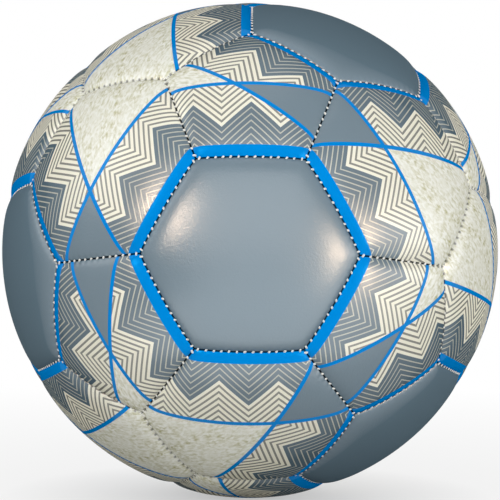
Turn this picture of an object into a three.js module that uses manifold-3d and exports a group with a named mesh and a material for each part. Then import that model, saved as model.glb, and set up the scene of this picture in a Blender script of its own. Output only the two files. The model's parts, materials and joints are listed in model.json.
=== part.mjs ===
// A futsal ball: twenty hexagon and twelve pentagon panels sewn edge to edge over a foam-lined bladder,
// with a push-in valve. Sizes are in millimetres. The origin is the ball's centre. The plain front panel
// faces -Y, the pentagon above it lies towards +Z, and the valve's axis runs out of the ball along +Y.
import * as THREE from "three";
import { mergeGeometries, mergeVertices } from "three/addons/utils/BufferGeometryUtils.js";
import Module from "manifold-3d";

const wasm = await Module();
wasm.setup();

// Ball
const BALL_DIAMETER = 200.5; // 630 mm round

// Panels: a cover, a foam sheet and cloth laminated before cutting, with the edges turned in for sewing
const PANEL_THICKNESS = 3.0;
const PILLOW_WIDTH = 18.0; // how far in from the seam the panel starts to fall away from the ball's round
const PILLOW_DEPTH = 1.0;
const SHOULDER_WIDTH = 4.0; // the edge that rolls down into the seam
const SHOULDER_DEPTH = 0.6;
const SEAM_GAP = 0.4; // between the turned-in edges, under the thread
const ALLOWANCE_WIDTH = 6.0; // the turned-in edge, folded back behind the panel
const ALLOWANCE_THICKNESS = 1.6;

// Sewing thread
const THREAD_DIAMETER = 0.9;

// Bladder and the foam that deadens its bounce
const BLADDER_WALL = 1.3;
const FOAM_THICKNESS = 8.0;

// Valve: a moulded body with a flange inside the bladder, and a core pushed into it
const VALVE_RECESS = 0.8; // from the panel's crown down to the valve's mouth
const VALVE_NECK_WALL = 0.9;
const VALVE_STEM_WALL = 2.8;
const VALVE_STEM_LENGTH = 12.0;
const VALVE_FLANGE_DIAMETER = 28.0;
const VALVE_FLANGE_THICKNESS = 1.5;
const CORE_DIAMETER = 5.6;
const CORE_LENGTH = 16.0;
const CORE_HEAD_DIAMETER = 7.6;
const CORE_HEAD_THICKNESS = 1.2;
const NEEDLE_HOLE_DIAMETER = 1.6;
const NEEDLE_FUNNEL_DIAMETER = 3.0;
const NEEDLE_SEAL_THICKNESS = 3.0; // the closed lips at the core's inner end

// Between a piece and its seat
const FIT_CLEARANCE = 0.3;

// Facets
const SEAM_STEPS = 3; // along each seam
const THREAD_SIDES = 6;
const SPHERE_SEGMENTS = 28; // around the bladder and the foam
const HOLLOW_SEGMENTS = 16; // around the foam's inner face
const VALVE_SEGMENTS = 24;
const PILLOW_RING = 0.5; // where the ring on the pillow's slope lies, as a share of its width
const ROLL_RING = 0.4; // where the ring on the shoulder's roll lies, as a share of its width

const HEXAGON_SIDES = 6;
const PENTAGON_SIDES = 5;
const NEAR = 1e-3; // directions closer than this count as the same

// Radii from the ball's centre
const crownRadius = BALL_DIAMETER / 2;
const backRadius = crownRadius - PANEL_THICKNESS;
const foldRadius = backRadius - ALLOWANCE_THICKNESS;

// A truncated icosahedron of circumradius 1 has edges of this length, the same on both kinds of panel.
const seamChord = 4 / Math.sqrt(58 + 18 * Math.sqrt(5));
const seamAngle = 2 * Math.asin(seamChord / 2);

// The groove is as wide as the thread and its clearance. The thread lies as deep as the sloping walls let it.
const grooveHalfWidth = THREAD_DIAMETER / 2 + FIT_CLEARANCE;
const lipRadius = faceRadius(grooveHalfWidth);
const threadRadius = seatThread();

// The face's distance from the ball's centre. The pillow falls away in a parabola. The shoulder adds a
// quarter of an ellipse.
function faceRadius(inset) {
  const slope = Math.max(0, 1 - inset / PILLOW_WIDTH);
  const roll = Math.max(0, 1 - inset / SHOULDER_WIDTH);
  return crownRadius - PILLOW_DEPTH * slope ** 2 - SHOULDER_DEPTH * (1 - Math.sqrt(1 - roll ** 2));
}

function seatThread() {
  const depth = lipRadius - backRadius;
  const slope = grooveHalfWidth - SEAM_GAP / 2;
  const wall = Math.hypot(depth, slope);
  return lipRadius + ((wall - depth) * grooveHalfWidth) / slope;
}

// Solids for cutting and joining

function solidOf(geometry) {
  const bare = geometry.clone();
  bare.deleteAttribute("normal");
  bare.deleteAttribute("uv");
  const merged = mergeVertices(bare);
  return new wasm.Manifold(
    new wasm.Mesh({
      numProp: 3,
      vertProperties: merged.attributes.position.array,
      triVerts: new Uint32Array(merged.index.array),
    }),
  );
}

function geometryOf(solid) {
  const mesh = solid.getMesh();
  return new THREE.BufferGeometry()
    .setAttribute("position", new THREE.BufferAttribute(mesh.vertProperties, 3))
    .setIndex(new THREE.BufferAttribute(mesh.triVerts, 1));
}

function sphere(radius, segments = SPHERE_SEGMENTS) {
  return solidOf(new THREE.SphereGeometry(radius, segments, segments / 2));
}

// A round cutter along the valve's axis, from the ball's centre to well outside it.
function valveCutter(radius) {
  const length = 2 * crownRadius;
  const geometry = new THREE.CylinderGeometry(radius, radius, length, VALVE_SEGMENTS);
  return solidOf(geometry.translate(0, length / 2, 0));
}

// Panels

function panelShape(sides) {
  const corner = seamChord / (2 * Math.sin(Math.PI / sides));
  const apothem = corner * Math.cos(Math.PI / sides);
  const height = Math.sqrt(1 - corner ** 2);
  return { sides, corner, apothem, height };
}

// How far out a ring lies, as a share of the way from the panel's middle, to stand `inset` from the seam.
function shareAt(shape, inset, radius) {
  const { apothem, height } = shape;
  return 1 - (inset * (apothem ** 2 + height ** 2)) / (radius * apothem * height);
}

// Rings of the panel's skin, from the middle of its face over the edge to the middle of its back.
function panelRings(shape) {
  const ring = (inset, radius = faceRadius(inset)) => ({ share: shareAt(shape, inset, radius), radius });
  return [
    ring(PILLOW_WIDTH),
    ring(PILLOW_RING * PILLOW_WIDTH),
    ring(SHOULDER_WIDTH),
    ring(ROLL_RING * SHOULDER_WIDTH),
    ring(grooveHalfWidth),
    ring(SEAM_GAP / 2, backRadius),
    ring(SEAM_GAP / 2, foldRadius),
    ring(ALLOWANCE_WIDTH, foldRadius),
    ring(ALLOWANCE_WIDTH, backRadius),
  ];
}

// One panel, its middle on +Z and its first corner towards +X.
function panelGeometry(sides) {
  const shape = panelShape(sides);
  const rings = panelRings(shape);
  const around = sides * SEAM_STEPS;
  const cornerAt = (i) => {
    const turn = (2 * Math.PI * i) / sides;
    return new THREE.Vector2(Math.cos(turn), Math.sin(turn)).multiplyScalar(shape.corner);
  };
  const points = [];
  for (const { share, radius } of rings) {
    for (let i = 0; i < around; i++) {
      const side = Math.floor(i / SEAM_STEPS);
      const flat = cornerAt(side).lerp(cornerAt(side + 1), (i % SEAM_STEPS) / SEAM_STEPS);
      flat.multiplyScalar(share);
      points.push(new THREE.Vector3(flat.x, flat.y, shape.height).setLength(radius));
    }
  }
  const face = points.push(new THREE.Vector3(0, 0, crownRadius)) - 1;
  const back = points.push(new THREE.Vector3(0, 0, backRadius)) - 1;
  const triangles = [];
  for (let i = 0; i < around; i++) {
    const next = (i + 1) % around;
    triangles.push(face, i, next);
    for (let row = 0; row < rings.length - 1; row++) {
      const [a, b] = [row * around + i, row * around + next];
      triangles.push(a, a + around, b + around, a, b + around, b);
    }
    const last = (rings.length - 1) * around;
    triangles.push(back, last + next, last + i);
  }
  return new THREE.BufferGeometry().setFromPoints(points).setIndex(triangles);
}

// Where the panels and seams lie

function ballLayout() {
  const bare = new THREE.IcosahedronGeometry(1);
  bare.deleteAttribute("normal");
  bare.deleteAttribute("uv");
  const solid = mergeVertices(bare);
  const tips = [];
  for (let i = 0; i < solid.attributes.position.count; i++) {
    tips.push(new THREE.Vector3().fromBufferAttribute(solid.attributes.position, i));
  }
  const faces = [];
  for (let i = 0; i < solid.index.count; i += 3) {
    faces.push([0, 1, 2].map((k) => tips[solid.index.getX(i + k)]));
  }
  turnToFront(tips, faces[0]);
  const corners = new Map();
  const seamCorner = (from, to) => {
    const key = tips.indexOf(from) * tips.length + tips.indexOf(to);
    if (!corners.has(key)) corners.set(key, from.clone().multiplyScalar(2).add(to).normalize());
    return corners.get(key);
  };
  const hexagons = faces.map(([a, b, c]) => ({
    centre: new THREE.Vector3().add(a).add(b).add(c).normalize(),
    corner: seamCorner(a, b),
  }));
  const isNeighbour = (a, b) => a !== b && a.dot(b) > 0;
  const pentagons = tips.map((tip) => ({
    centre: tip,
    corner: seamCorner(
      tip,
      tips.find((other) => isNeighbour(tip, other)),
    ),
  }));
  const seams = [];
  for (const [a, b, c] of faces) {
    for (const [from, to, other] of [
      [a, b, c],
      [b, c, a],
      [c, a, b],
    ]) {
      seams.push([seamCorner(from, to), seamCorner(from, other)]);
      if (tips.indexOf(from) < tips.indexOf(to)) seams.push([seamCorner(from, to), seamCorner(to, from)]);
    }
  }
  return {
    hexagons: hexagons.sort(frontToBack),
    pentagons: pentagons.sort(frontToBack),
    seams,
  };
}

// Turns the corners of the icosahedron so that one face looks along -Y with a corner upwards.
function turnToFront(tips, [top, left, right]) {
  const forward = new THREE.Vector3().add(top).add(left).add(right).normalize();
  const yAxis = forward.clone().negate();
  const zAxis = top.clone().addScaledVector(forward, -top.dot(forward)).normalize();
  const xAxis = new THREE.Vector3().crossVectors(yAxis, zAxis);
  const turn = new THREE.Matrix4().makeBasis(xAxis, yAxis, zAxis).transpose();
  tips.forEach((tip) => tip.applyMatrix4(turn));
}

// Sorts panels row by row from the front, and clockwise from the top within a row.
function frontToBack(a, b) {
  const rows = a.centre.y - b.centre.y;
  const sameRow = Math.abs(rows) < NEAR;
  return sameRow ? clockAngle(a.centre) - clockAngle(b.centre) : rows;
}

function clockAngle({ x, z }) {
  const angle = Math.atan2(x, z);
  return angle < -NEAR ? angle + 2 * Math.PI : angle;
}

// Eight of the hexagons are plain. They face the corners of a cube whose diagonal is the valve's axis.
function isPlain({ centre }) {
  const front = new THREE.Vector3(0, -1, 0);
  const upperRight = layout.hexagons.find((h) => Math.abs(h.centre.y + 1 / 3) < NEAR).centre;
  const thirds = [0, 1, 2].map((i) => upperRight.clone().applyAxisAngle(front, (2 * Math.PI * i) / 3));
  return [front, ...thirds].some((way) => 1 - Math.abs(way.dot(centre)) < NEAR);
}

// Materials, in the colours of the ball

const finish = (color, roughness) => new THREE.MeshStandardMaterial({ color, roughness, metalness: 0 });
const SLATE = 0x75828b;
const PEARL = 0xd9d9cb;
const HATCHED = 0xa3a8a5;
const THREAD_WHITE = 0xf0efe8;
const BUTYL_BLACK = 0x17181a;
const FOAM_YELLOW = 0xd8c98f;
const VALVE_GREY = 0x2a2c2f;
const COVER_ROUGHNESS = 0.38;
const RUBBER_ROUGHNESS = 0.7;
const CLOTH_ROUGHNESS = 0.9;

function node(name, geometry, color, roughness) {
  const mesh = new THREE.Mesh(geometry, finish(color, roughness));
  mesh.name = name;
  return mesh;
}

// Pieces of the ball

function panel(name, geometry, { centre, corner }, color) {
  const mesh = node(name, geometry, color, COVER_ROUGHNESS);
  const xAxis = corner.clone().addScaledVector(centre, -corner.dot(centre)).normalize();
  const yAxis = new THREE.Vector3().crossVectors(centre, xAxis);
  mesh.quaternion.setFromRotationMatrix(new THREE.Matrix4().makeBasis(xAxis, yAxis, centre));
  return mesh;
}

const numbered = (word, i) => word + "_" + String(i + 1).padStart(2, "0");

function coverPanels() {
  const cover = new THREE.Group();
  const hexagon = panelGeometry(HEXAGON_SIDES);
  const pentagon = panelGeometry(PENTAGON_SIDES);
  const plain = layout.hexagons.filter(isPlain);
  const banded = layout.hexagons.filter((place) => !isPlain(place));
  cover.add(panel("front_panel", hexagon, plain[0], SLATE));
  plain
    .slice(1, -1)
    .forEach((place, i) => cover.add(panel(numbered("slate_hexagon", i), hexagon, place, SLATE)));
  banded.forEach((place, i) => cover.add(panel(numbered("banded_hexagon", i), hexagon, place, PEARL)));
  layout.pentagons.forEach((place, i) =>
    cover.add(panel(numbered("banded_pentagon", i), pentagon, place, HATCHED)),
  );
  cover.add(valvePanel(panel("valve_panel", hexagon, plain.at(-1), SLATE)));
  return cover;
}

// The valve's panel is the one opposite the front, with a hole for the valve's neck.
function valvePanel(mesh) {
  const inBall = mesh.geometry.clone().applyQuaternion(mesh.quaternion);
  const cut = solidOf(inBall).subtract(valveCutter(valveNeckRadius + FIT_CLEARANCE));
  mesh.geometry = geometryOf(cut).applyQuaternion(mesh.quaternion.clone().invert());
  return mesh;
}

// The thread is a cage of strands, one along each seam, mitred where three of them meet at a corner.
function seamThread() {
  const strands = layout.seams.map(([from, to]) => strandGeometry(from, to));
  return node("seam_thread", mergeGeometries(strands), THREAD_WHITE, CLOTH_ROUGHNESS);
}

function strandGeometry(from, to) {
  const side = new THREE.Vector3().crossVectors(from, to).normalize();
  const rings = [strandEnd(from, to)];
  for (let step = 1; step < SEAM_STEPS; step++) {
    const middle = from.clone().applyAxisAngle(side, (seamAngle * step) / SEAM_STEPS);
    rings.push(strandRing(middle, side, () => new THREE.Vector3()));
  }
  const farEnd = strandEnd(to, from);
  rings.push(farEnd.map((_, i) => farEnd[(THREAD_SIDES - i) % THREAD_SIDES]));
  const triangles = [];
  for (let row = 0; row < SEAM_STEPS; row++) {
    for (let i = 0; i < THREAD_SIDES; i++) {
      const [a, b] = [row * THREAD_SIDES + i, row * THREAD_SIDES + ((i + 1) % THREAD_SIDES)];
      triangles.push(a, a + THREAD_SIDES, b, b, a + THREAD_SIDES, b + THREAD_SIDES);
    }
  }
  return new THREE.BufferGeometry().setFromPoints(rings.flat()).setIndex(triangles);
}

// A ring of points round a strand, from its outer side over towards `side`, each moved by `mitre(offset)`.
function strandRing(middle, side, mitre) {
  return Array.from({ length: THREAD_SIDES }, (_, i) => {
    const turn = (2 * Math.PI * i) / THREAD_SIDES;
    const rise = (THREAD_DIAMETER / 2) * Math.cos(turn);
    const offset = (THREAD_DIAMETER / 2) * Math.sin(turn);
    const point = middle.clone().multiplyScalar(threadRadius + rise);
    return point.addScaledVector(side, offset).add(mitre(offset));
  });
}

// The ring where a strand ends at a corner, cut along the planes halfway to the two strands beside it.
function strandEnd(corner, towards) {
  const heading = (other) => other.clone().addScaledVector(corner, -other.dot(corner)).normalize();
  const along = heading(towards);
  const side = new THREE.Vector3().crossVectors(corner, along);
  const beside = layout.seams
    .filter((seam) => seam.includes(corner) && !seam.includes(towards))
    .map(([a, b]) => heading(a === corner ? b : a));
  return strandRing(corner, side, (offset) => {
    const next = beside.find((way) => way.dot(side) * offset >= 0);
    const halfAngle = along.angleTo(next) / 2;
    return along.clone().multiplyScalar(Math.abs(offset) / Math.tan(halfAngle));
  });
}

// The bladder rests on whichever reaches further in: the folded edges, or the flats behind the panels.
function bladderRadius() {
  const hexagon = panelShape(HEXAGON_SIDES);
  const share = shareAt(hexagon, ALLOWANCE_WIDTH, backRadius);
  const flatAngle = Math.atan((share * hexagon.corner) / hexagon.height);
  const foldReach = foldRadius * Math.cos(seamAngle / SEAM_STEPS / 2);
  const flatReach = backRadius * Math.cos(flatAngle / 2);
  return Math.min(foldReach, flatReach) - FIT_CLEARANCE;
}

function bladder() {
  const hollow = sphere(bladderOuter - BLADDER_WALL);
  const opening = valveCutter(valveNeckRadius + FIT_CLEARANCE);
  const shell = sphere(bladderOuter).subtract(hollow).subtract(opening);
  return node("bladder", geometryOf(shell), BUTYL_BLACK, RUBBER_ROUGHNESS);
}

function bounceFoam() {
  const outer = bladderInner - FIT_CLEARANCE;
  const opening = valveCutter(VALVE_FLANGE_DIAMETER / 2 + FIT_CLEARANCE);
  const hollow = sphere(outer - FOAM_THICKNESS, HOLLOW_SEGMENTS);
  const lining = sphere(outer).subtract(hollow).subtract(opening);
  return node("bounce_foam", geometryOf(lining), FOAM_YELLOW, CLOTH_ROUGHNESS);
}

// Points of a domed face of the valve's flange, between two distances from the valve's axis.
function dome(radius, fromAxis, toAxis) {
  const across = [fromAxis, (fromAxis + toAxis) / 2, toAxis];
  return across.map((x) => new THREE.Vector2(x, Math.sqrt(radius ** 2 - x ** 2)));
}

function valveBody() {
  const flangeRadius = VALVE_FLANGE_DIAMETER / 2;
  const stemRadius = CORE_DIAMETER / 2 + FIT_CLEARANCE + VALVE_STEM_WALL;
  const boreRadius = CORE_DIAMETER / 2 + FIT_CLEARANCE;
  const headRadius = CORE_HEAD_DIAMETER / 2 + FIT_CLEARANCE;
  const headSeat = valveMouth - CORE_HEAD_THICKNESS - FIT_CLEARANCE;
  const stemEnd = flangeTop - VALVE_FLANGE_THICKNESS - VALVE_STEM_LENGTH;
  const profile = [
    new THREE.Vector2(stemRadius, stemEnd),
    ...dome(flangeTop - VALVE_FLANGE_THICKNESS, stemRadius, flangeRadius),
    ...dome(flangeTop, flangeRadius, valveNeckRadius),
    new THREE.Vector2(valveNeckRadius, valveMouth),
    new THREE.Vector2(headRadius, valveMouth),
    new THREE.Vector2(headRadius, headSeat),
    new THREE.Vector2(boreRadius, headSeat),
    new THREE.Vector2(boreRadius, stemEnd),
    new THREE.Vector2(stemRadius, stemEnd),
  ];
  return node("valve_body", new THREE.LatheGeometry(profile, VALVE_SEGMENTS), VALVE_GREY, RUBBER_ROUGHNESS);
}

function valveCore() {
  const inner = valveMouth - CORE_LENGTH;
  const funnelDepth = (NEEDLE_FUNNEL_DIAMETER - NEEDLE_HOLE_DIAMETER) / 2;
  const profile = [
    new THREE.Vector2(0, inner),
    new THREE.Vector2(CORE_DIAMETER / 2, inner),
    new THREE.Vector2(CORE_DIAMETER / 2, valveMouth - CORE_HEAD_THICKNESS),
    new THREE.Vector2(CORE_HEAD_DIAMETER / 2, valveMouth - CORE_HEAD_THICKNESS),
    new THREE.Vector2(CORE_HEAD_DIAMETER / 2, valveMouth),
    new THREE.Vector2(NEEDLE_FUNNEL_DIAMETER / 2, valveMouth),
    new THREE.Vector2(NEEDLE_HOLE_DIAMETER / 2, valveMouth - funnelDepth),
    new THREE.Vector2(NEEDLE_HOLE_DIAMETER / 2, inner + NEEDLE_SEAL_THICKNESS),
    new THREE.Vector2(0, inner + NEEDLE_SEAL_THICKNESS),
  ];
  return node("valve_core", new THREE.LatheGeometry(profile, VALVE_SEGMENTS), BUTYL_BLACK, RUBBER_ROUGHNESS);
}

// Assembly

const layout = ballLayout();
const bladderOuter = bladderRadius();
const bladderInner = bladderOuter - BLADDER_WALL;
const bladderFlat = Math.cos(Math.PI / SPHERE_SEGMENTS); // how near the centre the bladder's facets come
const flangeTop = bladderInner * bladderFlat - FIT_CLEARANCE;
const valveMouth = crownRadius - VALVE_RECESS;
const valveNeckRadius = CORE_HEAD_DIAMETER / 2 + FIT_CLEARANCE + VALVE_NECK_WALL;

const ball = new THREE.Group();
const valve = new THREE.Group();
valve.add(valveBody(), valveCore());
ball.add(coverPanels(), seamThread(), bladder(), bounceFoam(), valve);

export default ball;
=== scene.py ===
import json
import math
from collections import defaultdict, namedtuple

import bpy
from bpy.props import FloatProperty, FloatVectorProperty, IntProperty, PointerProperty
from mathutils import Matrix, Vector


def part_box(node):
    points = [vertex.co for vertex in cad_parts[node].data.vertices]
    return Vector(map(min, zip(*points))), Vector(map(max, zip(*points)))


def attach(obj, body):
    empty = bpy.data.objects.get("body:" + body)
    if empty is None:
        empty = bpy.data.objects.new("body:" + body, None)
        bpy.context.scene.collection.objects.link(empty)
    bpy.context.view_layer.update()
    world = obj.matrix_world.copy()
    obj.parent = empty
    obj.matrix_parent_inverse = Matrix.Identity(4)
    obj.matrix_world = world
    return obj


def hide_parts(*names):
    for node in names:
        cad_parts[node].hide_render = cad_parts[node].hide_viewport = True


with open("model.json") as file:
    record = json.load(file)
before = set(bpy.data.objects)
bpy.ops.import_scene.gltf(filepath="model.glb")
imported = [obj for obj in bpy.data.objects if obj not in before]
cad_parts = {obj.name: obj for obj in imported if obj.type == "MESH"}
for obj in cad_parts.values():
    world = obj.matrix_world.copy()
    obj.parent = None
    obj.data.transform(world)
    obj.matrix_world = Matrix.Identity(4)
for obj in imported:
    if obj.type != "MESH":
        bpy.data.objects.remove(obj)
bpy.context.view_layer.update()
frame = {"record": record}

bl_info = {
    "name": "Futsal Ball",
    "version": (1, 0, 0),
    "blender": (4, 5, 0),
    "location": "View3D > Sidebar > Ball",
    "description": "Sews a futsal ball's panels, stitches and valve round its packed frame",
    "category": "Object",
}

MM = 0.001
SLOT_OF = {part["node"]: part["material_slot"] for part in frame["record"]["subparts"]}
SLATE_SLOT = "slate_cover"
VALVE_PANEL = "valve_panel"
HEXAGON, PENTAGON = 6, 5
ROUND_STEPS = 64  # round the valve's pieces and its hole
SHELL_SEGMENTS, SHELL_RINGS = 72, 48  # of the bladder and the foam lining
DOUBLED = 0.001 * MM  # points this near to each other are one point
LEVEL = 0.1 * MM  # heights this near to each other are one height
PRINT_MAP = "print"
PRINT_SPAN = 100 * MM  # one unit of the print map
PRINT_MIDDLE = 0.5  # where a panel's middle is on the print map, both ways
INSET = "inset"  # the attribute that holds a point's distance from the nearest seam
PULL = "pull"  # the attribute that is 1 beside a stitch and 0 halfway to the next one
SAG, FOLD, BACK = "sag", "fold", "back"  # the groups of points that a panel's steps move

# A flat panel's place: its height is from the ball's centre, its corner from the panel's middle
Place = namedtuple("Place", "node sides corner height turn")


# Sizes and colours


def srgb(code):
    """A colour written as 0xRRGGBB, in the linear values that shaders take."""
    parts = [(code >> shift & 255) / 255 for shift in (16, 8, 0)]
    return [p / 12.92 if p <= 0.04045 else ((p + 0.055) / 1.055) ** 2.4 for p in parts]


def length(name, description, default):
    return FloatProperty(
        name=name, description=description, default=default, min=0, precision=5, subtype="DISTANCE"
    )


def angle(name, description, degrees):
    return FloatProperty(
        name=name, description=description, default=math.radians(degrees), subtype="ANGLE"
    )


def colour(name, description, code):
    return FloatVectorProperty(
        name=name, description=description, default=srgb(code), min=0, max=1, subtype="COLOR"
    )


def count(name, description, default, least):
    return IntProperty(name=name, description=description, default=default, min=least)


def watts(name, description, default):
    return FloatProperty(
        name=name, description=description, default=default, min=0, subtype="POWER"
    )


def half_width(node):
    """Half of a CAD node's width."""
    low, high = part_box(node)
    return (high.x - low.x) / 2


class BallCover(bpy.types.PropertyGroup):
    """Sizes of the panels and of the sewing"""

    radius: length("Ball radius", "From the ball's centre to a crown", -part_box("front_panel")[0].y)
    thickness: length("Panel thickness", "Cover, foam sheet and cloth together", 3.0 * MM)
    pillow_width: length("Pillow width", "Where a panel starts to fall away", 16.0 * MM)
    pillow_depth: length("Pillow depth", "How far it falls before its rolled edge", 0.8 * MM)
    shoulder_width: length("Shoulder width", "The edge that rolls into the seam", 7.0 * MM)
    shoulder_depth: length("Shoulder depth", "How far the rolled edge drops", 1.3 * MM)
    seam_gap: length("Seam gap", "Between two turned-in edges", 0.2 * MM)
    allowance: length("Seam allowance", "Width of the edge that is folded back inside", 6.0 * MM)
    fold: length("Fold thickness", "Thickness of that folded edge", 1.6 * MM)
    stitches: count("Stitches", "On each seam", 14, least=3)
    rows: count("Rows", "Mesh rows for each stitch", 4, least=2)
    pucker_depth: length("Pucker depth", "How far a stitch pulls the edge in", 0.22 * MM)
    pucker_reach: length("Pucker reach", "How far from the seam a stitch pulls", 1.6 * MM)
    thread: length("Thread", "Diameter of the sewing thread", 0.85 * MM)
    stitch_span: length("Stitch span", "Across the seam, from hole to hole", 1.0 * MM)
    stitch_slant: angle("Stitch slant", "How far a stitch leans along the seam", 24)


class BallPrint(bpy.types.PropertyGroup):
    """Colours of the pieces and sizes of the cover's print"""

    slate: colour("Slate", "The plain panels and the printed slate", 0x667A86)
    pearl: colour("Pearl", "The printed panels' ground", 0xF7F7EE)
    fleck: colour("Fleck", "Creases in the pearl", 0xBDB98C)
    blue: colour("Blue", "Bands and rules", 0x0086D6)
    dark_ground: colour("Dark ground", "Between the thin hatch lines", 0x586B77)
    dark_line: colour("Dark line", "The thin hatch lines", 0xBDBDB0)
    pale_ground: colour("Pale ground", "Between the thick hatch lines", 0x84847B)
    pale_line: colour("Pale line", "The thick hatch lines", 0xF4F0DE)
    # Painted shade: the colour that the edges down in the seams are multiplied by
    seam_shade: colour("Seam shade", "Darkens the edges down in the seam", 0x505258)
    thread: colour("Thread", "The sewing thread", 0xF4F3EC)
    cloth: colour("Cloth", "The backing behind the panels", 0xD8D5C8)
    butyl: colour("Butyl", "The bladder", 0x17181A)
    foam: colour("Foam", "The lining that deadens the bounce", 0xD8C98F)
    valve: colour("Valve", "The moulded valve", 0x2A2C2F)
    core: colour("Core", "The valve's core", 0x17181A)
    crease_length: length("Crease length", "Along a crease in the pearl", 2.1 * MM)
    crease_width: length("Crease width", "Across a crease in the pearl", 1.1 * MM)
    band: length("Band", "Blue band along a slate panel", 4.4 * MM)
    field: length("Field", "How far the hatching reaches", 29.0 * MM)
    thin_lines: count("Thin lines", "Before the thick ones", 8, least=1)
    rule: length("Rule", "Thin blue line where a field ends", 1.5 * MM)
    pitch: length("Hatch pitch", "From line to line", 1.9 * MM)
    thin: length("Thin line", "Width of the thin hatch lines", 0.45 * MM)
    thick: length("Thick line", "Width of the thick hatch lines", 1.15 * MM)
    fold: length("Chevron", "From one fold of the hatch lines to the next", 10.2 * MM)
    hatch_angle: angle("Hatch angle", "Between the lines and the square to the band", 45)


class BallValve(bpy.types.PropertyGroup):
    """Sizes of the valve and of what lies under the cover"""

    mouth: length("Mouth", "The valve's mouth from the ball's centre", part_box("valve_body")[1].y)
    stem_end: length("Stem end", "Inner end, from the centre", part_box("valve_body")[0].y)
    flange: length("Flange radius", "The disc inside the bladder", half_width("valve_body"))
    flange_crown: length("Flange crown", "The disc's dome, from the ball's centre", 92.9 * MM)
    flange_thickness: length("Flange thickness", "The disc's thickness", 1.5 * MM)
    neck: length("Neck radius", "The neck through the panel", 5.0 * MM)
    stem: length("Stem radius", "The stem inside the ball", 5.9 * MM)
    bore: length("Bore radius", "Where the core goes", 3.1 * MM)
    recess: length("Recess radius", "Where the core's head sits", 4.1 * MM)
    recess_depth: length("Recess depth", "Depth of that seat", 1.5 * MM)
    core_end: length("Core end", "Inner end, from the centre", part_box("valve_core")[0].y)
    core_radius: length("Core radius", "The core's stem", 2.8 * MM)
    head: length("Head radius", "The core's head", half_width("valve_core"))
    head_thickness: length("Head thickness", "The core's head", 1.2 * MM)
    funnel: length("Funnel radius", "Where the needle goes in", 1.5 * MM)
    needle: length("Needle hole radius", "The needle's hole", 0.8 * MM)
    seal: length("Seal", "The closed lips at the core's inner end", 3.0 * MM)
    rounding: length("Rounding", "On the moulded edges", 0.2 * MM)
    clearance: length("Clearance", "Between a piece and its seat", 0.3 * MM)
    dish: length("Dish depth", "How far the panel dips at the valve", 0.5 * MM)
    dish_radius: length("Dish radius", "Where that dip starts", 11.0 * MM)
    bladder: length("Bladder radius", "Outside the bladder", half_width("bladder"))
    bladder_wall: length("Bladder wall", "The butyl's thickness", 1.3 * MM)
    foam: length("Foam radius", "Outside the lining", half_width("bounce_foam"))
    foam_thickness: length("Foam thickness", "The lining's thickness", 8.0 * MM)


class BallStage(bpy.types.PropertyGroup):
    """The camera, the lamps and the floor"""

    distance: length("Camera distance", "From the ball's centre", 767 * MM)
    height: angle("Camera height", "Above the ball's centre", 1.0)
    roll: angle("Camera roll", "Round the line of sight", 0.5)
    lens: FloatProperty(
        name="Lens", description="Focal length", default=135.4, min=1, subtype="DISTANCE_CAMERA"
    )
    front: watts("Front lamp", "The broad light on the camera's side", 20.0)
    left: watts("Left strip", "Lights the leather from the left", 3.2)
    left_shine: watts("Left shine", "The left strip's glint", 5.8)
    left_high: watts("Left lamp", "Lights the upper left", 2.2)
    right: watts("Right strip", "Lights the leather from the right", 0.7)
    right_shine: watts("Right shine", "The right strip's glint", 4.0)
    right_low: watts("Right lamp", "Lights the right edge", 4.0)
    top: watts("Top lamp", "Lights the top", 0.7)
    back: watts("Back lamp", "Lights the valve's side", 20.0)
    card: watts("Card", "A sheen from the floor on the lower panels", 2.6)
    room: FloatProperty(name="Room", description="Light from all round", default=0.05, min=0)
    shine: colour("Shine", "The warm light that the strips shine with", 0xFFDFC0)
    floor: colour("Floor", "The pale floor", 0xB4B4B2)


# Modelling steps that the pieces share


def nothing_selected():
    bpy.ops.object.select_all(action="DESELECT")


def edit_all():
    bpy.ops.object.mode_set(mode="EDIT")
    bpy.ops.mesh.select_mode(type="VERT")
    bpy.ops.mesh.select_all(action="SELECT")


def edit_done():
    bpy.ops.object.mode_set(mode="OBJECT")


def pick(*objects):
    nothing_selected()
    for obj in objects:
        obj.select_set(True)
    bpy.context.view_layer.objects.active = objects[-1]


def apply_modifier(obj, kind, **settings):
    modifier = obj.modifiers.new(kind, kind)
    for name, value in settings.items():
        setattr(modifier, name, value)
    bpy.ops.object.modifier_apply(modifier=modifier.name)


def cast_round(obj, radius, group=""):
    """Casts a mesh, or a group of its points, to a round of that radius."""
    settings = {"factor": 1, "use_radius_as_size": False, "size": radius, "vertex_group": group}
    apply_modifier(obj, "CAST", **settings)


def close_up(smooth_degrees):
    """Merges doubled points, turns the faces outwards and smooths the picked piece."""
    edit_all()
    bpy.ops.mesh.remove_doubles(threshold=DOUBLED)
    bpy.ops.mesh.normals_make_consistent(inside=False)
    edit_done()
    bpy.ops.object.shade_smooth_by_angle(angle=math.radians(smooth_degrees))


def copied(source, turn):
    """A copy of a piece with a mesh of its own, turned into its place on the ball."""
    pick(source)
    bpy.ops.object.duplicate()
    copy = bpy.context.object
    copy.matrix_world = turn
    bpy.ops.object.transform_apply()
    return copy


def remove(obj):
    pick(obj)
    bpy.ops.object.delete()


def settle(piece, name, node, *finishes):
    """Names a piece, gives it its materials and puts it in its CAD node's place."""
    piece.name = name
    piece.data.name = name
    for finish in finishes:
        piece.data.materials.append(finish)
    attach(piece, "valve_core" if node == "valve_core" else "ball")
    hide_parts(node)


# Where the panels and the seams lie


def axes(x_axis, z_axis):
    """The turn to a frame with this z axis and an x axis as near as can be to that one."""
    z_axis = z_axis.normalized()
    x_axis = (x_axis - z_axis * x_axis.dot(z_axis)).normalized()
    return Matrix((x_axis, z_axis.cross(x_axis), z_axis)).transposed().to_4x4()


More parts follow.
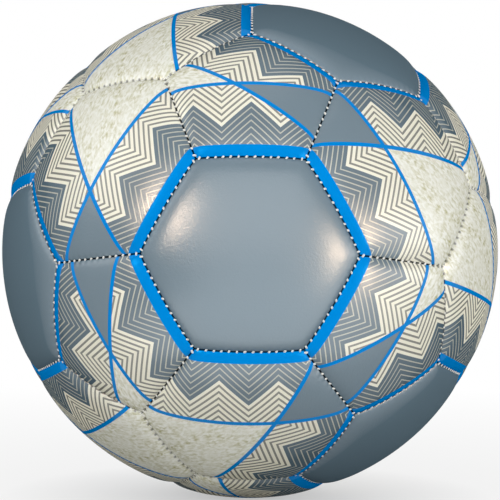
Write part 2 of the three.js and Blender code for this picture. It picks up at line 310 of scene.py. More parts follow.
def seam_guide(radius):
    """Reads the panels' places and the seams off an icosahedron with its corners cut off."""
    nothing_selected()
    bpy.ops.mesh.primitive_ico_sphere_add(subdivisions=1, radius=radius)
    guide = bpy.context.object
    edit_all()
    bpy.ops.mesh.bevel(offset_type="PERCENT", offset_pct=100 / 3, affect="VERTICES")
    edit_done()
    mesh = guide.data
    top = {
        sides: max((f for f in mesh.polygons if len(f.vertices) == sides), key=lambda f: f.center.z)
        for sides in (HEXAGON, PENTAGON)
    }
    forward = top[HEXAGON].center.normalized()
    upright = axes(forward.cross(-top[PENTAGON].center), -forward)
    to_front = Matrix.Rotation(-math.pi / 2, 4, "X") @ upright.inverted()
    mesh.transform(to_front @ Matrix.Scale(radius / mesh.vertices[0].co.length, 4))
    mesh.update()
    places = panel_places(mesh)
    points = [v.co.copy() for v in mesh.vertices]
    seams = [(points[a], points[b]) for a, b in mesh.edge_keys]
    remove(guide)
    return places, seams


def panel_places(mesh):
    """Each panel's place. A printed panel's x axis points between its slate neighbours."""
    covers = [node for node, slot in SLOT_OF.items() if slot.endswith("_cover")]
    panels = {node: sum(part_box(node), Vector()) for node in covers}
    centres = [f.center.copy() for f in mesh.polygons]
    nodes = [max(panels, key=lambda n: panels[n].normalized().dot(c)) for c in centres]
    if len(set(nodes)) != len(nodes):
        raise RuntimeError("the guide's faces don't match the frame's panels")
    beside = defaultdict(list)
    for face in mesh.polygons:
        for key in face.edge_keys:
            beside[key].append(face.index)
    places = []
    for face in mesh.polygons:
        others = {i for key in face.edge_keys for i in beside[key]} - {face.index}
        slate = [centres[i] for i in others if SLOT_OF[nodes[i]] == SLATE_SLOT]
        pentagons = [centres[i] for i in others if len(mesh.polygons[i].vertices) == PENTAGON]
        towards = sum(slate, Vector()) if slate else max(pentagons, key=lambda c: c.z)
        centre = centres[face.index]
        corner = (mesh.vertices[face.vertices[0]].co - centre).length
        turn = axes(towards, centre)
        places.append(Place(nodes[face.index], len(face.vertices), corner, centre.length, turn))
    return places


# Panels


class PanelCut:
    """The shape that a panel is sewn to, its middle on +Z and one of its seams towards +X."""

    ROW_GRADING = 1.45  # crowds the mesh rows towards the seam
    BACK_RINGS = (0.66, 0.33)  # the rings of the cloth, as shares of the panel's width

    def __init__(self, cover, place, dip=lambda from_middle: 0):
        self.cover = cover
        self.place = place
        self.apothem = place.corner * math.cos(math.pi / place.sides)
        self.dip = dip
        turns = [2 * math.pi * side / place.sides for side in range(place.sides)]
        self.ways = [Vector((math.cos(t), math.sin(t))) for t in turns]
        self.alongs = [Vector((-math.sin(t), math.cos(t), 0)) for t in turns]
        self.middles = [
            Vector((*way * self.apothem, place.height)).normalized() for way in self.ways
        ]
        self.squares = [m.cross(a) for m, a in zip(self.middles, self.alongs)]
        seam_angle = 2 * math.asin(place.corner * math.sin(math.pi / place.sides) / cover.radius)
        self.pitch = cover.radius * seam_angle / cover.stitches

    def insets(self, way):
        """Distances over the ball from the point that way to each of the panel's seams."""
        return [self.cover.radius * math.asin(way.dot(square)) for square in self.squares]

    def merged(self, drops):
        """The drops towards all the seams as one, with no crease where two of them meet."""
        return math.cbrt(sum(drop**3 for drop in drops))

    def pull(self, way, seam):
        """1 beside a stitch of that seam, and 0 halfway to the next one."""
        along = math.atan2(way.dot(self.alongs[seam]), way.dot(self.middles[seam]))
        from_stitch = self.cover.radius * along / self.pitch + (self.cover.stitches - 1) / 2
        return 0.5 + 0.5 * math.cos(2 * math.pi * from_stitch)

    def drop(self, way):
        """A point's depth below the ball's round, how far its nearest seam is, and its pull."""
        cover = self.cover
        insets = self.insets(way)
        pillow = []
        shoulder = []
        for inset in insets:
            slope = max(0, 1 - inset / cover.pillow_width)
            roll = min(1, max(0, 1 - (inset - cover.seam_gap / 2) / cover.shoulder_width))
            pillow.append(slope**2)
            shoulder.append(1 - math.sqrt(1 - roll**2))
        sag = cover.pillow_depth * self.merged(pillow)
        sag += cover.shoulder_depth * self.merged(shoulder)
        nearest = min(insets)
        pull = self.pull(way, insets.index(nearest))
        pucker = cover.pucker_depth * pull * math.exp(-((nearest / cover.pucker_reach) ** 2))
        return sag + pucker + self.dip(way.xy.length * cover.radius), nearest, pull

    def blank(self):
        """The flat panel, with a fine mesh that is finest along its seams."""
        place = self.place
        nothing_selected()
        bpy.ops.mesh.primitive_circle_add(
            vertices=place.sides,
            radius=place.corner,
            fill_type="TRIFAN",
            location=(0, 0, place.height),
            rotation=(0, 0, math.pi / place.sides - math.pi / 2),
        )
        bpy.ops.object.transform_apply()
        panel = bpy.context.object
        edit_all()
        bpy.ops.mesh.subdivide(number_cuts=self.cover.stitches * self.cover.rows - 1)
        edit_done()
        edge = math.atan2(self.apothem, place.height) - self.cover.seam_gap / 2 / self.cover.radius
        edge_share = math.tan(edge) * place.height / self.apothem
        for vertex in panel.data.vertices:
            flat = vertex.co.xy
            share = max(flat.dot(way) for way in self.ways) / self.apothem
            if share > 0:
                graded = 1 - max(0, 1 - share) ** self.ROW_GRADING
                vertex.co.xy = flat * (edge_share * graded / share)
        return panel

    def sewn(self):
        """The panel as it lies on the ball, with its edges turned in and its back closed."""
        panel = self.blank()
        mesh = panel.data
        places = mesh.uv_layers.new(name=PRINT_MAP).uv
        middle = Vector((PRINT_MIDDLE, PRINT_MIDDLE))
        for loop in mesh.loops:
            flat = mesh.vertices[loop.vertex_index].co.xy
            places[loop.index].vector = flat / PRINT_SPAN + middle
        drops, insets, pulls = zip(*(self.drop(v.co.normalized()) for v in mesh.vertices))
        mesh.attributes.new(INSET, "FLOAT", "POINT").data.foreach_set("value", insets)
        mesh.attributes.new(PULL, "FLOAT", "POINT").data.foreach_set("value", pulls)
        deepest = max(drops)
        sag = panel.vertex_groups.new(name=SAG)
        for index, drop in enumerate(drops):
            sag.add([index], drop / deepest, "REPLACE")
        cast_round(panel, self.cover.radius)
        inwards = {"strength": -deepest, "mid_level": 0, "direction": "NORMAL"}
        apply_modifier(panel, "DISPLACE", vertex_group=SAG, **inwards)
        self.close_back(panel)
        close_up(smooth_degrees=60)
        panel.vertex_groups.clear()
        return panel

    def close_back(self, panel):
        """Turns the edge down, folds its allowance back inside and closes the cloth behind it."""
        cover = self.cover
        back_radius = cover.radius - cover.thickness
        radii = {FOLD: back_radius - cover.fold, BACK: back_radius}
        fold_share = 1 - cover.allowance / self.apothem
        rings = [(1, FOLD), (fold_share, FOLD), (fold_share, BACK)]
        rings += [(share, BACK) for share in self.BACK_RINGS]
        for group in radii:
            panel.vertex_groups.new(name=group)
        bpy.ops.object.mode_set(mode="EDIT")
        bpy.ops.mesh.select_mode(type="EDGE")
        bpy.ops.mesh.select_all(action="DESELECT")
        bpy.ops.mesh.select_non_manifold(
            use_wire=False, use_multi_face=False, use_non_contiguous=False, use_verts=False
        )
        share_now, radius_now = 1, cover.radius
        for share, group in rings:
            bpy.ops.mesh.extrude_region()
            up = radii[group] / radius_now
            across = up * share / share_now
            bpy.ops.transform.resize(value=(across, across, up), center_override=(0, 0, 0))
            self.regroup(group)
            share_now, radius_now = share, radii[group]
        bpy.ops.mesh.extrude_region()
        bpy.ops.mesh.merge(type="CENTER")
        self.regroup(BACK)
        edit_done()
        for group, radius in radii.items():
            cast_round(panel, radius, group)
        for face in panel.data.polygons:
            heights = [panel.data.vertices[i].co.length for i in face.vertices]
            is_cloth = max(heights) < back_radius + LEVEL
            face.material_index = int(is_cloth)

    def regroup(self, group):
        """Moves the picked points from every group to this one."""
        bpy.ops.object.vertex_group_remove_from(use_all_groups=True)
        bpy.ops.object.vertex_group_set_active(group=group)
        bpy.ops.object.vertex_group_assign()


# Finishes


class Nodes:
    """Draws a node tree. A pattern's scale is how many of its features lie in one unit of place."""

    def __init__(self, tree):
        self.tree = tree

    def add(self, kind, inputs=(), **settings):
        node = self.tree.nodes.new("ShaderNode" + kind)
        for name, value in settings.items():
            setattr(node, name, value)
        for key, value in dict(inputs).items():
            self.feed(node.inputs[key], value)
        return node

    def feed(self, socket, value):
        if isinstance(value, bpy.types.NodeSocket):
            self.tree.links.new(value, socket)
        elif socket.type == "RGBA":
            socket.default_value = (*value, 1)
        else:
            socket.default_value = value

    def math(self, operation, *values):
        return self.add("Math", enumerate(values), operation=operation).outputs[0]

    def both(self, first, second):
        return self.math("MULTIPLY", first, second)

    def either(self, first, second):
        return self.math("MAXIMUM", first, second)

    def within(self, value, low, high):
        return self.both(self.math("GREATER_THAN", value, low), self.math("LESS_THAN", value, high))

    def turned(self, across, along, angle):
        """How far a point lies out along a way that is turned by that angle from across."""
        part = self.math("MULTIPLY", along, math.sin(angle))
        return self.math("MULTIPLY_ADD", across, math.cos(angle), part)

    def blend(self, share, first, second, way="MIX"):
        """Mixes two colours. The node's colour sockets come after its number and vector ones."""
        inputs = {0: share, 6: first, 7: second}
        return self.add("Mix", inputs, data_type="RGBA", blend_type=way).outputs[2]

    def ramp(self, value, low, high, to_low=0.0, to_high=1.0):
        ends = {"From Min": low, "From Max": high, "To Min": to_low, "To Max": to_high}
        return self.add("MapRange", {"Value": value, **ends}).outputs["Result"]

    def place(self):
        return self.add("TexCoord").outputs["Object"]

    def measure(self, name):
        return self.add("Attribute", attribute_name=name).outputs["Fac"]

    def noise(self, where, scale, detail=2.0, distortion=0.0):
        inputs = {"Vector": where, "Scale": scale, "Detail": detail, "Distortion": distortion}
        return self.add("TexNoise", inputs).outputs["Fac"]

    def cells(self, where, scale):
        return self.add("TexVoronoi", {"Vector": where, "Scale": scale}).outputs["Distance"]

    def seen(self):
        """1 for what the camera, a gloss or a glass looks at, 0 for light on the ball."""
        path = self.add("LightPath").outputs
        sight = self.either(path["Is Camera Ray"], path["Is Glossy Ray"])
        return self.either(sight, path["Is Transmission Ray"])


class Finish(Nodes):
    """A material and its nodes."""

    def __init__(self, name, roughness, specular=0.25):
        self.material = bpy.data.materials.new(name)
        self.material.use_nodes = True
        super().__init__(self.material.node_tree)
        self.shader = self.tree.nodes["Principled BSDF"]
        self.roughen(roughness)
        self.feed(self.shader.inputs["Specular IOR Level"], specular)

    def bump(self, height, depth, strength):
        """Raises the surface by up to that depth, on top of any bump that it has already."""
        node = self.add("Bump", {"Height": height, "Distance": depth, "Strength": strength})
        earlier = self.shader.inputs["Normal"].links
        if earlier:
            self.feed(node.inputs["Normal"], earlier[0].from_socket)
        self.feed(self.shader.inputs["Normal"], node.outputs["Normal"])

    def paint(self, colour):
        self.feed(self.shader.inputs["Base Color"], colour)

    def roughen(self, value):
        self.feed(self.shader.inputs["Roughness"], value)

    def print_place(self):
        """Across and along the panel from its middle, in metres."""
        mapped = self.add("UVMap", uv_map=PRINT_MAP).outputs["UV"]
        across, along, _ = self.add("SeparateXYZ", {"Vector": mapped}).outputs
        return [
            self.math("MULTIPLY", self.math("SUBTRACT", part, PRINT_MIDDLE), PRINT_SPAN)
            for part in (across, along)
        ]


WHITE = (1, 1, 1)
NOISE_SPAN = (0.3, 0.7)  # most of a noise's values lie between these
LEATHER_ROUGHNESS = 0.3
LEATHER_UNEVEN = 0.015  # how far the leather's roughness strays from that
LEATHER_GLOSS = 0.8  # where the leather faces the eye
GLOSS_FADE = (0.25, 0.5)  # how far the leather is turned away as its gloss fades
SLATE_UNEVEN = 0.02  # the share by which the slate is paler and darker in places
# Where the painted shade lies: down in the seams, and in dots between the stitches
SEAM_EDGE = (0.42 * MM, 0.2 * MM)  # from a seam, where its shade starts and where it is full
DOT_EDGE = (1.0 * MM, 0.5 * MM)  # the same for the dots between the stitches
DOT_PULL = (0.45, 0.15)  # the stitches' pull where such a dot starts and where it is full
DOT_SHADE = 0.75  # how dark a full dot is
CREASE_SPAN = (0.38, 0.74)  # the noise where a crease starts and where it is full
PATCH_SPAN = (0.35, 0.65)  # the noise where the creases are faintest and where they are strongest
PATCH_STRENGTH = (0.45, 1.15)  # how strong they are there
RUBBER_UNEVEN = 0.08  # how far the rubber's roughness strays
BLOOM_LIFT = 0.004  # what a bloom adds to each part of the rubber's colour


def toned(colour, share):
    """A colour with that share of its light."""
    return [share * part for part in colour]


def leather_grain(finish):
    """A fine pebbled grain with an uneven gloss that fades where the ball turns away."""
    where = finish.place()
    facing = finish.add("LayerWeight").outputs["Facing"]
    gloss = finish.ramp(facing, *GLOSS_FADE, LEATHER_GLOSS, 0.0)
    finish.feed(finish.shader.inputs["Specular IOR Level"], gloss)
    finish.bump(finish.cells(where, scale=1.1 / MM), depth=0.03 * MM, strength=0.3)
    finish.bump(finish.noise(where, scale=2.6 / MM, detail=1), depth=0.06 * MM, strength=0.6)
    finish.bump(finish.noise(where, scale=0.95 / MM, detail=1), depth=0.08 * MM, strength=0.6)
    uneven = finish.noise(where, scale=0.09 / MM, detail=1)
    least, most = LEATHER_ROUGHNESS - LEATHER_UNEVEN, LEATHER_ROUGHNESS + LEATHER_UNEVEN
    finish.roughen(finish.ramp(uneven, *NOISE_SPAN, least, most))


def seam_line(finish):
    """1 down in the seam, where a panel's edge lies in shade."""
    return finish.ramp(finish.measure(INSET), *SEAM_EDGE)


def stitch_gap_shade(finish):
    """Painted shade: a soft dark dot at a panel's edge between each stitch and the next."""
    near = finish.ramp(finish.measure(INSET), *DOT_EDGE)
    between = finish.ramp(finish.measure(PULL), *DOT_PULL, 0.0, DOT_SHADE)
    return finish.both(near, between)


def slate_leather(prints):
    """Plain slate leather, with painted shade down in its seams."""
    finish = Finish("slate_leather", LEATHER_ROUGHNESS)
    leather_grain(finish)
    cloud = finish.ramp(finish.noise(finish.place(), scale=0.016 / MM), *NOISE_SPAN)
    deep = toned(prints.slate, 1 - SLATE_UNEVEN)
    pale = toned(prints.slate, 1 + SLATE_UNEVEN)
    plain = finish.blend(cloud, deep, pale)
    # Painted shade down in the seams
    finish.paint(finish.blend(seam_line(finish), plain, prints.seam_shade, "MULTIPLY"))
    return finish.material


def pearl_creases(finish, prints, across, along):
    """How strong the pearl's creases are: soft, longer than they are wide, and patchy."""
    across = finish.math("DIVIDE", across, prints.crease_length)
    along = finish.math("DIVIDE", along, prints.crease_width)
    where = finish.add("CombineXYZ", {"X": across, "Y": along}).outputs["Vector"]
    creases = finish.ramp(finish.noise(where, scale=1, detail=3, distortion=0.5), *CREASE_SPAN)
    patches = finish.noise(where, scale=0.16, detail=1)
    return finish.both(creases, finish.ramp(patches, *PATCH_SPAN, *PATCH_STRENGTH))


def banded_leather(name, prints, place):
    """Pearl leather, with a blue band and a hatched field along both of its slate neighbours."""
    finish = Finish(name, LEATHER_ROUGHNESS)
    across, side = finish.print_place()
    leather_grain(finish)
    creases = pearl_creases(finish, prints, across, side)
    ground = finish.blend(creases, prints.pearl, prints.fleck)

    apothem = place.corner * math.cos(math.pi / place.sides)
    slate_way = 2 * math.pi / place.sides
    side = finish.math("ABSOLUTE", side)
    near = finish.math("SUBTRACT", apothem, finish.turned(across, side, slate_way))
    far = finish.math("SUBTRACT", apothem, finish.turned(across, side, -slate_way))
    along = finish.turned(across, side, slate_way + math.pi / 2)
    folded = finish.math("PINGPONG", along, prints.fold)
    slant = finish.math("DIVIDE", finish.turned(folded, near, prints.hatch_angle), prints.pitch)
    weight = finish.math("GREATER_THAN", slant, prints.thin_lines)
    width = finish.ramp(weight, 0, 1, prints.thin / prints.pitch, prints.thick / prints.pitch)
    stripe = finish.math("LESS_THAN", finish.math("FRACT", slant), width)
    dark_hatch = finish.blend(stripe, prints.dark_ground, prints.dark_line)
    pale_hatch = finish.blend(stripe, prints.pale_ground, prints.pale_line)
    hatch = finish.blend(weight, dark_hatch, pale_hatch)

    in_field = finish.math("LESS_THAN", near, prints.field)
    in_both = finish.both(in_field, finish.math("LESS_THAN", far, prints.field))
    ends = prints.field, prints.field + prints.rule
    rules = finish.either(finish.within(near, *ends), finish.within(far, *ends))
    blue = finish.either(finish.math("LESS_THAN", near, prints.band), rules)
    layers = finish.blend(in_field, ground, hatch)
    layers = finish.blend(in_both, layers, prints.slate)
    layers = finish.blend(blue, layers, prints.blue)
    finish.feed(finish.shader.inputs["Specular Tint"], finish.blend(blue, WHITE, prints.blue))
    printed = finish.either(in_field, blue)
    bare = finish.math("SUBTRACT", 1.0, printed)
    finish.bump(finish.both(creases, bare), depth=0.06 * MM, strength=0.2)
    # Painted shade down in the seams on the print, and in dots between the stitches on the bare
    # pearl
    shaded_print = finish.both(seam_line(finish), printed)
    shaded_pearl = finish.both(stitch_gap_shade(finish), bare)
    shaded = finish.either(shaded_print, shaded_pearl)
    finish.paint(finish.blend(shaded, layers, prints.seam_shade, "MULTIPLY"))
    return finish.material


def waxed_thread(prints):
    finish = Finish("waxed_thread", roughness=0.5)
    fibres = finish.noise(finish.place(), scale=5.2 / MM, detail=3, distortion=0.6)
    finish.bump(fibres, depth=0.05 * MM, strength=0.4)
    # Darker where the fibres' bump is low: painted shade between the fibres
    deep = toned(prints.thread, share=0.8)
    finish.paint(finish.blend(finish.ramp(fibres, low=0.3, high=0.6), deep, prints.thread))
    return finish.material


def backing_cloth(prints):
    finish = Finish("backing_cloth", roughness=0.9)
    weave = finish.cells(finish.place(), scale=1.4 / MM)
    finish.bump(weave, depth=0.15 * MM, strength=0.5)
    deep = toned(prints.cloth, share=0.75)
    finish.paint(finish.blend(finish.ramp(weave, low=0.1, high=0.7), prints.cloth, deep))
    return finish.material


def moulded_rubber(name, colour, roughness):
    """Rubber with a faint pale bloom and an uneven gloss."""
    finish = Finish(name, roughness)
    where = finish.place()
    finish.bump(finish.noise(where, scale=3.0 / MM), depth=0.03 * MM, strength=0.3)
    bloom = finish.noise(where, scale=0.42 / MM, detail=4)
    pale = [min(1, part + BLOOM_LIFT) for part in toned(colour, share=1.5)]
    finish.paint(finish.blend(finish.ramp(bloom, low=0.4, high=0.8), colour, pale))
    least, most = roughness - RUBBER_UNEVEN, roughness + RUBBER_UNEVEN
    finish.roughen(finish.ramp(bloom, *NOISE_SPAN, least, most))
    return finish.material


def open_foam(prints):
    finish = Finish("open_foam", roughness=0.95)
    pores = finish.cells(finish.place(), scale=0.7 / MM)
    finish.bump(pores, depth=0.6 * MM, strength=0.6)
    # The pores' pits are painted darker: painted shade in them, on top of their bump
    deep = toned(prints.foam, share=0.55)
    finish.paint(finish.blend(finish.ramp(pores, low=0.1, high=0.6), deep, prints.foam))
    return finish.material


# Operators


def places_of(context, slot):
    """Where the panels of one kind go."""
    places = seam_guide(context.scene.ball_cover.radius)[0]
    return [place for place in places if SLOT_OF[place.node] == slot]


def sew_panels(context, places, *finishes):
    """Sews one panel and copies it to each of these places."""
    sewn = PanelCut(context.scene.ball_cover, places[0]).sewn()
    for place in places:
        settle(copied(sewn, place.turn), place.node + "_leather", place.node, *finishes)
    remove(sewn)


class BALL_OT_slate_panels(bpy.types.Operator):
    """Sew the plain slate hexagons, one of them with a hole for the valve"""

    bl_idname = "ball.slate_panels"
    bl_label = "Slate panels"

    def execute(self, context):
        prints = context.scene.ball_print
        finishes = slate_leather(prints), backing_cloth(prints)
        places = places_of(context, SLATE_SLOT)
        sew_panels(context, [p for p in places if p.node != VALVE_PANEL], *finishes)
        self.valve_panel(context, next(p for p in places if p.node == VALVE_PANEL), *finishes)
        return {"FINISHED"}

    def valve_panel(self, context, place, *finishes):
        """Sews the panel that dips round the valve, and punches the valve's hole."""
        cover, valve = context.scene.ball_cover, context.scene.ball_valve

        def dip(from_middle):
            share = (valve.dish_radius - from_middle) / (valve.dish_radius - valve.neck)
            share = min(1, max(0, share))
            return valve.dish * share**2 * (3 - 2 * share)

        sewn = PanelCut(cover, place, dip).sewn()
        panel = copied(sewn, place.turn)
        remove(sewn)
        nothing_selected()
        bpy.ops.mesh.primitive_cylinder_add(
            vertices=ROUND_STEPS,
            radius=valve.neck + valve.clearance,
            depth=cover.radius,
            location=(0, cover.radius, 0),
            rotation=(math.pi / 2, 0, 0),
        )
        punch = bpy.context.object
        pick(panel)
        apply_modifier(panel, "BOOLEAN", operation="DIFFERENCE", solver="EXACT", object=punch)
        remove(punch)
        settle(panel, place.node + "_leather", place.node, *finishes)


class BALL_OT_banded_panels(bpy.types.Operator):
    """Sew the printed hexagons and pentagons, twelve of each"""

    bl_idname = "ball.banded_panels"
    bl_label = "Banded panels"

    def execute(self, context):
        prints = context.scene.ball_print
        cloth = backing_cloth(prints)
        for kind in ("banded_hexagon", "banded_pentagon"):
            places = places_of(context, kind + "_cover")
            finish = banded_leather(kind + "_leather", prints, places[0])
            sew_panels(context, places, finish, cloth)
        return {"FINISHED"}


class BALL_OT_seam_stitches(bpy.types.Operator):
    """Lay the sewing thread's stitches across every seam"""

    bl_idname = "ball.seam_stitches"
    bl_label = "Seam stitches"

    SIDES = 6  # round the thread
    STEPS = 5  # along a stitch
    FLATTEN = 0.75  # a stitch's height as a share of a round one's
    # How far stitches stray from their even places, turns and sizes
    SEED = 5
    STRAY = (0.15 * MM, 0.05 * MM, 0.03 * MM)
    TWIST = (0, 0, math.radians(12))
    SWELL = (1.12, 1.12, 1.08)

    def execute(self, context):
        cover = context.scene.ball_cover
        seams = seam_guide(cover.radius)[1]
        row = self.stitch_row(cover, *seams[0])
        rows = [copied(row, axes(end - start, start + end)) for start, end in seams]
        remove(row)
        pick(*rows)
        bpy.ops.object.join()
        finish = waxed_thread(context.scene.ball_print)
        settle(bpy.context.object, "seam_stitches", "seam_thread", finish)
        return {"FINISHED"}

    def stitch_row(self, cover, start, end):
        """One seam's stitches, none quite alike. The seam runs along X, with its middle on +Z."""
        stitch = self.stitch(cover)
        pitch = start.angle(end) / cover.stitches
        first = -pitch * (cover.stitches - 1) / 2
        leans = [first + pitch * i for i in range(cover.stitches)]
        row = [copied(stitch, Matrix.Rotation(lean, 4, "Y")) for lean in leans]
        remove(stitch)
        pick(*row)
        bpy.ops.object.origin_set(type="ORIGIN_GEOMETRY")
        bpy.ops.object.randomize_transform(
            random_seed=self.SEED, loc=self.STRAY, rot=self.TWIST, scale=self.SWELL
        )
        bpy.ops.object.join()
        bpy.ops.object.transform_apply()
        return bpy.context.object

    def stitch(self, cover):
        """A short hump of thread across the seam, its ends down in the panels."""
        foot = cover.radius - cover.pillow_depth - cover.shoulder_depth - cover.pucker_depth
        nothing_selected()
        bpy.ops.mesh.primitive_circle_add(
            vertices=self.SIDES, radius=cover.thread / 2, location=(0, -cover.stitch_span / 2, foot)
        )
        bpy.ops.object.transform_apply()
        stitch = bpy.context.object
        edit_all()
        middle = (0, 0, foot)
        bpy.ops.mesh.spin(steps=self.STEPS, angle=math.pi, center=middle, axis=(1, 0, 0))
        bpy.ops.mesh.select_all(action="SELECT")
        bpy.ops.mesh.fill_holes(sides=0)
        bpy.ops.mesh.select_all(action="SELECT")
        bpy.ops.transform.resize(value=(1, 1, self.FLATTEN), center_override=middle)
        bpy.ops.transform.rotate(value=cover.stitch_slant, orient_axis="Z", center_override=middle)
        edit_done()
        close_up(smooth_degrees=80)
        if max(v.co.z for v in stitch.data.vertices) < foot + cover.thread / 2:
            raise RuntimeError("the stitch was turned into the ball")
        return stitch


def turned_piece(profile, valve):
    """Turns a closed profile of (from the axis, along the axis) points on the valve's axis, +Y."""
    nothing_selected()
    bpy.ops.mesh.primitive_plane_add(size=1 * MM)
    piece = bpy.context.object
    edit_all()
    bpy.ops.mesh.merge(type="CENTER")
    here = Vector()
    for index, point in enumerate([*profile, profile[0]]):
        there = Vector((*point, 0))
        if index:
            bpy.ops.mesh.extrude_region()
        bpy.ops.transform.translate(value=there - here)
        here = there
    bpy.ops.mesh.select_all(action="SELECT")
    bpy.ops.mesh.remove_doubles(threshold=DOUBLED)
    bpy.ops.mesh.spin(steps=ROUND_STEPS, angle=2 * math.pi, center=(0, 0, 0), axis=(0, 1, 0))
    edit_done()
    close_up(smooth_degrees=30)
    edges = {"limit_method": "ANGLE", "angle_limit": math.radians(35)}
    apply_modifier(piece, "BEVEL", width=valve.rounding, segments=2, **edges)
    close_up(smooth_degrees=40)
    reach = max((v.co.y for v in piece.data.vertices), default=0)
    if not math.isclose(reach, max(y for _, y in profile), abs_tol=LEVEL):
        raise RuntimeError("the turned piece doesn't reach the end of its profile")
    return piece


def dome(crown, first, last, points=6):
    """Points on a round about the ball's centre, between two distances from the valve's axis."""
    steps = [first + (last - first) * i / (points - 1) for i in range(points)]
    return [(x, math.sqrt(crown**2 - x**2)) for x in steps]


class BALL_OT_valve_body(bpy.types.Operator):
    """Turn the moulded rubber valve"""

    bl_idname = "ball.valve_body"
    bl_label = "Valve body"

    def execute(self, context):
        valve = context.scene.ball_valve
        seat = valve.mouth - valve.recess_depth
        profile = [
            (valve.bore, valve.stem_end),
            (valve.stem, valve.stem_end),
            *dome(valve.flange_crown - valve.flange_thickness, valve.stem, valve.flange),
            *dome(valve.flange_crown, valve.flange, valve.neck),
            (valve.neck, valve.mouth),
            (valve.recess, valve.mouth),
            (valve.recess, seat),
            (valve.bore, seat),
        ]
        body = turned_piece(profile, valve)
        rubber = moulded_rubber("valve_rubber", context.scene.ball_print.valve, roughness=0.6)
        settle(body, "valve_body_rubber", "valve_body", rubber)
        return {"FINISHED"}


class BALL_OT_valve_core(bpy.types.Operator):
    """Turn the push-in core with its needle hole"""

    bl_idname = "ball.valve_core"
    bl_label = "Valve core"

    def execute(self, context):
        valve = context.scene.ball_valve
        under_head = valve.mouth - valve.head_thickness
        profile = [
            (0, valve.core_end),
            (valve.core_radius, valve.core_end),
            (valve.core_radius, under_head),
            (valve.head, under_head),
            (valve.head, valve.mouth),
            (valve.funnel, valve.mouth),
            (valve.needle, valve.mouth - (valve.funnel - valve.needle)),
            (valve.needle, valve.core_end + valve.seal),
            (0, valve.core_end + valve.seal),
        ]
        core = turned_piece(profile, valve)
        rubber = moulded_rubber("core_rubber", context.scene.ball_print.core, roughness=0.45)
        settle(core, "valve_core_rubber", "valve_core", rubber)
        return {"FINISHED"}


def lining_shell(radius, wall, opening):
    """A hollow ball with a round opening for the valve."""
    nothing_selected()
    bpy.ops.mesh.primitive_uv_sphere_add(
        segments=SHELL_SEGMENTS, ring_count=SHELL_RINGS, radius=radius, rotation=(math.pi / 2, 0, 0)
    )
    bpy.ops.object.transform_apply()
    shell = bpy.context.object
    edit_all()
    bpy.ops.mesh.bisect(
        plane_co=(0, math.sqrt(radius**2 - opening**2), 0), plane_no=(0, 1, 0), clear_outer=True
    )
    edit_done()
    close_up(smooth_degrees=60)
    apply_modifier(shell, "SOLIDIFY", thickness=wall, offset=-1)
    bpy.ops.object.shade_smooth_by_angle(angle=math.radians(50))
    return shell


class BALL_OT_bladder(bpy.types.Operator):
    """Make the butyl bladder"""

    bl_idname = "ball.bladder"
    bl_label = "Bladder"

    def execute(self, context):
        valve = context.scene.ball_valve
        shell = lining_shell(valve.bladder, valve.bladder_wall, valve.neck + valve.clearance)
        butyl = moulded_rubber("butyl", context.scene.ball_print.butyl, roughness=0.65)
        settle(shell, "bladder_butyl", "bladder", butyl)
        return {"FINISHED"}


class BALL_OT_bounce_foam(bpy.types.Operator):
    """Make the foam lining that deadens the bounce"""

    bl_idname = "ball.bounce_foam"
    bl_label = "Bounce foam"

    def execute(self, context):
        valve = context.scene.ball_valve
        shell = lining_shell(valve.foam, valve.foam_thickness, valve.flange + valve.clearance)
        settle(shell, "bounce_foam_lining", "bounce_foam", open_foam(context.scene.ball_print))
        return {"FINISHED"}


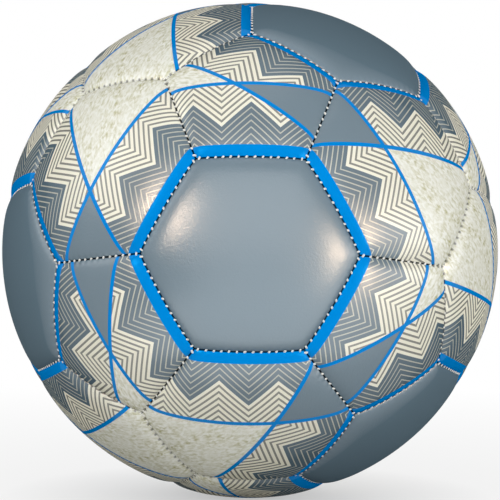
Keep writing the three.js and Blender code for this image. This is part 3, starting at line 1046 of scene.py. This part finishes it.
class BALL_OT_stage(bpy.types.Operator):
    """Set the floor, the lamps and the camera"""

    bl_idname = "ball.stage"
    bl_label = "Stage"

    FLOOR_SIZE = 8.0
    NEAR_GLOW = 0.85  # how white the floor glows one ball's radius out
    CONTACT_GLOW = 0.5  # the share of that glow that is left right under the ball
    WHITE_FROM = 5  # the floor is all white from this many of the ball's radii out
    SENSOR = 36  # the width of the camera's sensor in mm
    # name: the way to it from the ball's centre, its distance, its width and its height, in metres
    # A strip lights the leather and shows no glint. The shine lamp in front of it is only a glint.
    LAMPS = {
        "front": ((0.03, -0.96, 0.27), 1.6, 1.8, 1.75),
        "left": ((-0.565, -0.78, 0.275), 1.2, 0.22, 0.28),
        "left_shine": ((-0.565, -0.78, 0.275), 1.15, 0.14, 0.24),
        "left_high": ((-0.85, -0.15, 0.50), 1.2, 0.60, 0.60),
        "right": ((0.68, -0.73, -0.07), 0.75, 0.19, 0.34),
        "right_shine": ((0.68, -0.73, -0.07), 0.70, 0.16, 0.33),
        "right_low": ((0.96, -0.26, 0.07), 1.2, 1.0, 0.36),
        "top": ((0.0, -0.10, 1.0), 1.2, 0.60, 0.60),
        "back": ((0.10, 0.95, 0.30), 1.6, 1.2, 1.2),
    }
    CARD_PLACE = (0.18, -0.45)
    CARD_SIZE = (0.70, 0.65)
    CARD_LIFT = 1 * MM  # above the floor

    def execute(self, context):
        scene = context.scene
        stage = scene.ball_stage
        radius = scene.ball_cover.radius
        scene.view_settings.view_transform = "Standard"
        self.floor(stage, radius)
        self.room(scene, stage)
        for name, (way, distance, *size) in self.LAMPS.items():
            place = Vector(way).normalized() * distance
            lamp = self.lamp(name, place, -place, size, getattr(stage, name))
            if name + "_shine" in self.LAMPS:
                lamp.visible_glossy = False
            if name.endswith("_shine"):
                lamp.visible_diffuse = False
                lamp.data.color = stage.shine
        place = Vector((*self.CARD_PLACE, self.CARD_LIFT - radius))
        card = self.lamp("card", place, Vector((0, 0, 1)), self.CARD_SIZE, stage.card)
        card.visible_diffuse = False  # only a sheen on the lower panels
        self.camera(scene, stage)
        return {"FINISHED"}

    def floor(self, stage, radius):
        """A floor that looks white and keeps the ball's shadow."""
        nothing_selected()
        bpy.ops.mesh.primitive_plane_add(size=self.FLOOR_SIZE, location=(0, 0, -radius))
        floor = bpy.context.object
        floor.name = "floor"
        finish = Finish("pale_floor", roughness=0.9, specular=0.0)
        finish.paint(stage.floor)
        measure = finish.add("VectorMath", {0: finish.place()}, operation="LENGTH")
        from_ball = measure.outputs["Value"]
        contact = finish.ramp(from_ball, 0, radius, self.CONTACT_GLOW, 1.0)
        fade = finish.ramp(from_ball, radius, self.WHITE_FROM * radius, self.NEAR_GLOW, 1.0)
        white = finish.both(finish.both(contact, fade), finish.seen())
        glow = finish.add("Emission").outputs[0]
        mixed = finish.add("MixShader", {0: white, 1: finish.shader.outputs[0], 2: glow})
        finish.feed(finish.tree.nodes["Material Output"].inputs["Surface"], mixed.outputs[0])
        floor.data.materials.append(finish.material)

    def room(self, scene, stage):
        """A white background whose light on the ball is only a soft fill."""
        world = bpy.data.worlds.new("room")
        world.use_nodes = True
        scene.world = world
        nodes = Nodes(world.node_tree)
        background = world.node_tree.nodes["Background"]
        nodes.feed(background.inputs["Color"], WHITE)
        level = nodes.ramp(nodes.seen(), 0, 1, stage.room, 1)
        nodes.feed(background.inputs["Strength"], level)

    def lamp(self, name, place, shines, size, power):
        """A lamp that shines that way and isn't in the picture itself."""
        bpy.ops.object.light_add(type="AREA", location=place)
        lamp = bpy.context.object
        lamp.name = name + "_lamp"
        lamp.rotation_euler = shines.to_track_quat("-Z", "Y").to_euler()
        lamp.visible_camera = False
        lamp.data.energy = power
        lamp.data.shape = "RECTANGLE"
        lamp.data.size, lamp.data.size_y = size
        return lamp

    def camera(self, scene, stage):
        back = Vector((0, -math.cos(stage.height), math.sin(stage.height)))
        bpy.ops.object.camera_add(location=back * stage.distance)
        camera = bpy.context.object
        aim = back.to_track_quat("Z", "Y").to_matrix()
        camera.rotation_euler = (aim @ Matrix.Rotation(stage.roll, 3, "Z")).to_euler()
        camera.data.lens = stage.lens
        camera.data.sensor_width = self.SENSOR
        scene.camera = camera


class BALL_PT_sidebar(bpy.types.Panel):
    """Lists the ball's pieces and its settings"""

    bl_idname = "BALL_PT_sidebar"
    bl_label = "Futsal Ball"
    bl_space_type = "VIEW_3D"
    bl_region_type = "UI"
    bl_category = "Ball"

    def draw(self, context):
        for operator in OPERATORS:
            self.layout.operator(operator.bl_idname)
        for name, group in SETTINGS.items():
            box = self.layout.box()
            box.label(text=group.__doc__)
            settings = getattr(context.scene, name)
            for setting in group.__annotations__:
                box.prop(settings, setting)


OPERATORS = (
    BALL_OT_slate_panels,
    BALL_OT_banded_panels,
    BALL_OT_seam_stitches,
    BALL_OT_valve_body,
    BALL_OT_valve_core,
    BALL_OT_bladder,
    BALL_OT_bounce_foam,
    BALL_OT_stage,
)
SETTINGS = {
    "ball_cover": BallCover,
    "ball_print": BallPrint,
    "ball_valve": BallValve,
    "ball_stage": BallStage,
}


def register():
    for group in SETTINGS.values():
        bpy.utils.register_class(group)
    for name, group in SETTINGS.items():
        setattr(bpy.types.Scene, name, PointerProperty(type=group))
    for operator in OPERATORS:
        bpy.utils.register_class(operator)
    bpy.utils.register_class(BALL_PT_sidebar)


def unregister():
    bpy.utils.unregister_class(BALL_PT_sidebar)
    for operator in reversed(OPERATORS):
        bpy.utils.unregister_class(operator)
    for name, group in SETTINGS.items():
        delattr(bpy.types.Scene, name)
        bpy.utils.unregister_class(group)


def main():
    register()
    bpy.ops.ball.slate_panels()
    bpy.ops.ball.banded_panels()
    bpy.ops.ball.seam_stitches()
    bpy.ops.ball.valve_body()
    bpy.ops.ball.valve_core()
    bpy.ops.ball.bladder()
    bpy.ops.ball.bounce_foam()
    bpy.ops.ball.stage()


if __name__ == "__main__":
    main()
